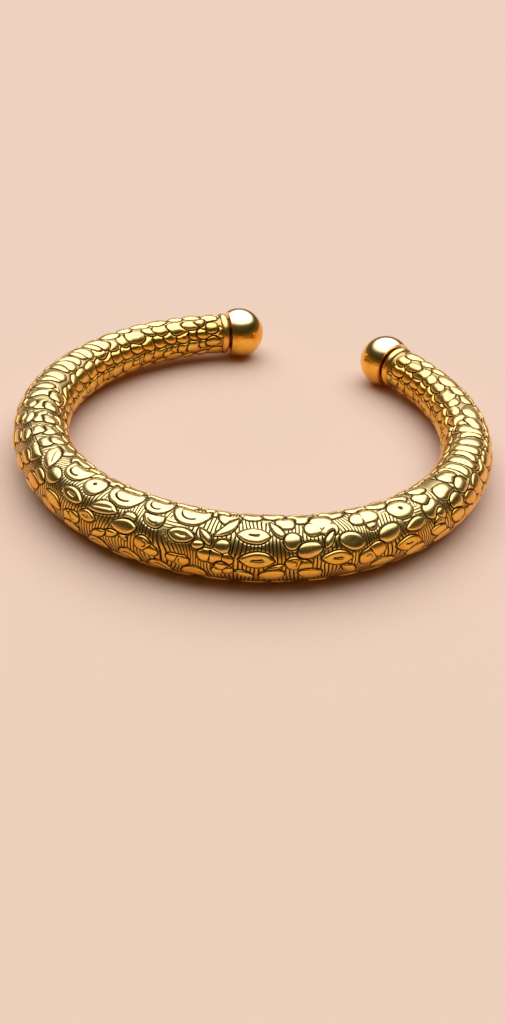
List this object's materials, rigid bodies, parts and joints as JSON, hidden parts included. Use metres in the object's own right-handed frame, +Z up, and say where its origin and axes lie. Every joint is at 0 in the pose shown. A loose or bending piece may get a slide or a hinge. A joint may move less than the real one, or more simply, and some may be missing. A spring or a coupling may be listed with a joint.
{
  "type": "bangle bracelet",
  "caption": "Open cuff bangle: a tapered round tube, chased all over with leaves and flowers, bent round the wrist, with a plain collar and a polished ball on each end.",
  "frame": {"origin": "on the table under the middle of the bangle's box, as it rests on the belly of the tube and on both balls", "axes": "+Z up, square to the table the bangle lies on; +Y towards the gap between the balls; +X towards the right arm, seen from above with the gap at the top. The bangle is the same on both sides of the plane X = 0."},
  "size_m": [0.0746, 0.0732, 0.0096],
  "materials": {
    "chased_gold": "gold plated, chased, with dark recesses",
    "seam_solder": "soldered, filed and plated",
    "resin": "cast lac resin",
    "spring_rod": "drawn wire",
    "end_plate": "sawn sheet",
    "plain_gold": "gold plated, plain",
    "neck_bush": "turned, darkened",
    "polished_gold": "gold plated, mirror polished"
  },
  "bodies": {
    "root": {"chased_tube": "chased_gold", "seam_solder": "seam_solder", "resin_filling": "resin", "core_rod": "spring_rod", "end_plate_left": "end_plate", "end_plate_right": "end_plate", "collar_ring_left": "plain_gold", "collar_ring_right": "plain_gold", "neck_bush_left": "neck_bush", "neck_bush_right": "neck_bush", "ball_base_dome_left": "polished_gold", "ball_base_dome_right": "polished_gold", "ball_tip_dome_left": "polished_gold", "ball_tip_dome_right": "polished_gold"}
  },
  "joints": []
}
